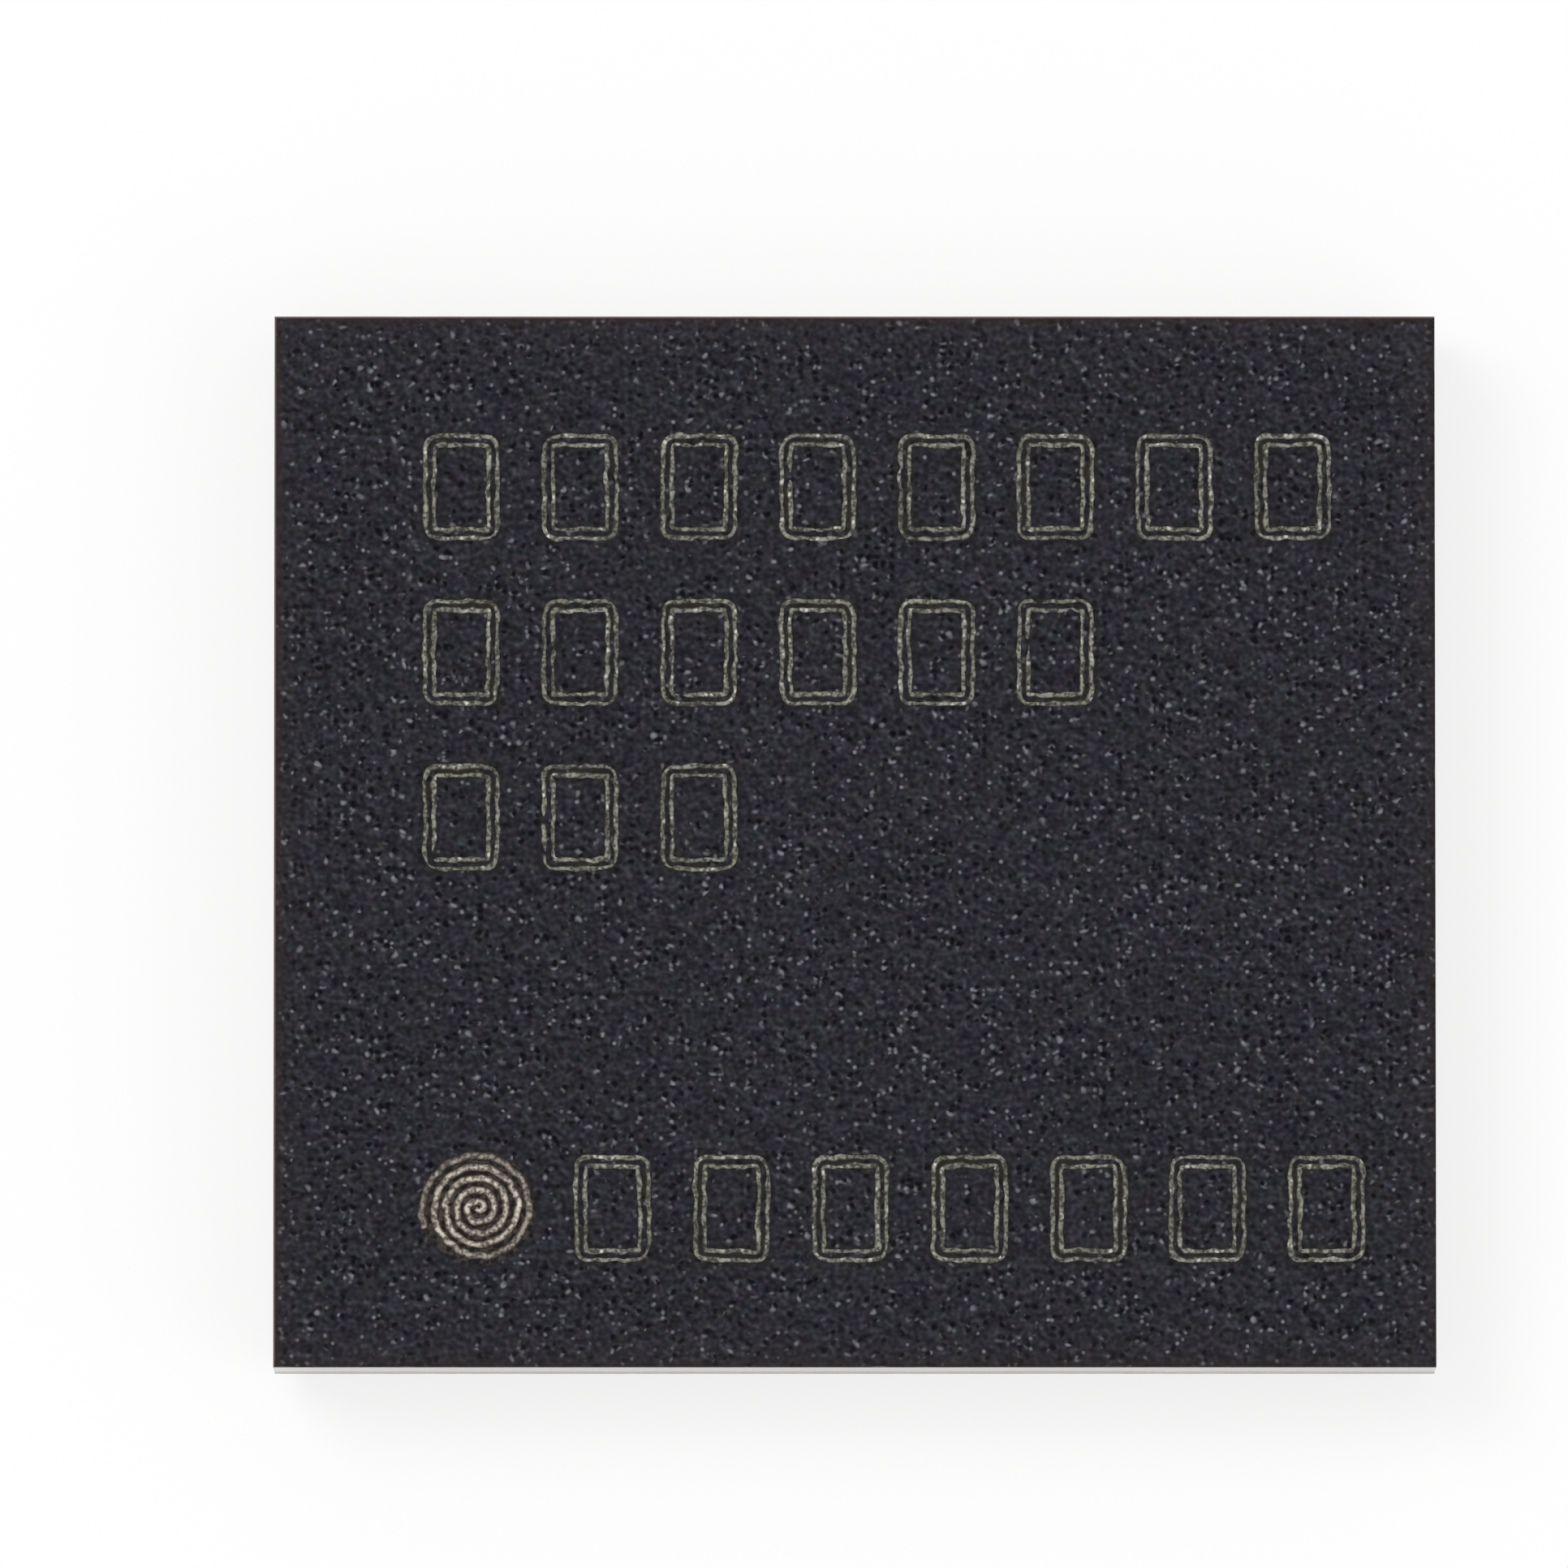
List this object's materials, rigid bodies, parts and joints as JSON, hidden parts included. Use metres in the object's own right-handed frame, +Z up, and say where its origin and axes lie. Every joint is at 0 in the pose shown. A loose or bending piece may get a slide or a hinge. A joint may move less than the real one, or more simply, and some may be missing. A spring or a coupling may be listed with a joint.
{
  "type": "rf transceiver chip",
  "caption": "Small rectangular moulded chip package: dark epoxy cap over a thin green-masked laminate, with a staggered grid of solder balls underneath.",
  "frame": {"origin": "centre of the rectangular footprint, level with the tips of the solder balls", "axes": "+Z up through the mould top; +X along the longer side of the body; ball row A lies along the -Y side and the first corner is at -X, -Y"},
  "size_m": [0.006, 0.0054, 0.0007],
  "materials": {
    "mould": "matte",
    "silicon": "gloss",
    "copper": "satin",
    "laminate": "matte",
    "mask": "satin",
    "solder": "satin"
  },
  "bodies": {
    "root": {"mould_cap": "mould", "silicon_die": "silicon", "die_pillars": "copper", "mould_side_traces": "copper", "laminate_core": "laminate", "via_posts": "copper", "ball_side_copper": "copper", "solder_mask": "mask", "ball_row_a": "solder", "ball_row_b": "solder", "ball_row_c": "solder", "ball_row_d": "solder", "ball_row_e": "solder", "ball_row_f": "solder", "ball_row_g": "solder", "ball_row_h": "solder", "ball_row_j": "solder", "ball_row_k": "solder", "ball_row_l": "solder", "ball_row_m": "solder", "ball_row_n": "solder", "ball_row_p": "solder", "ball_row_r": "solder", "ball_row_t": "solder", "ball_row_u": "solder", "ball_row_v": "solder"}
  },
  "joints": []
}
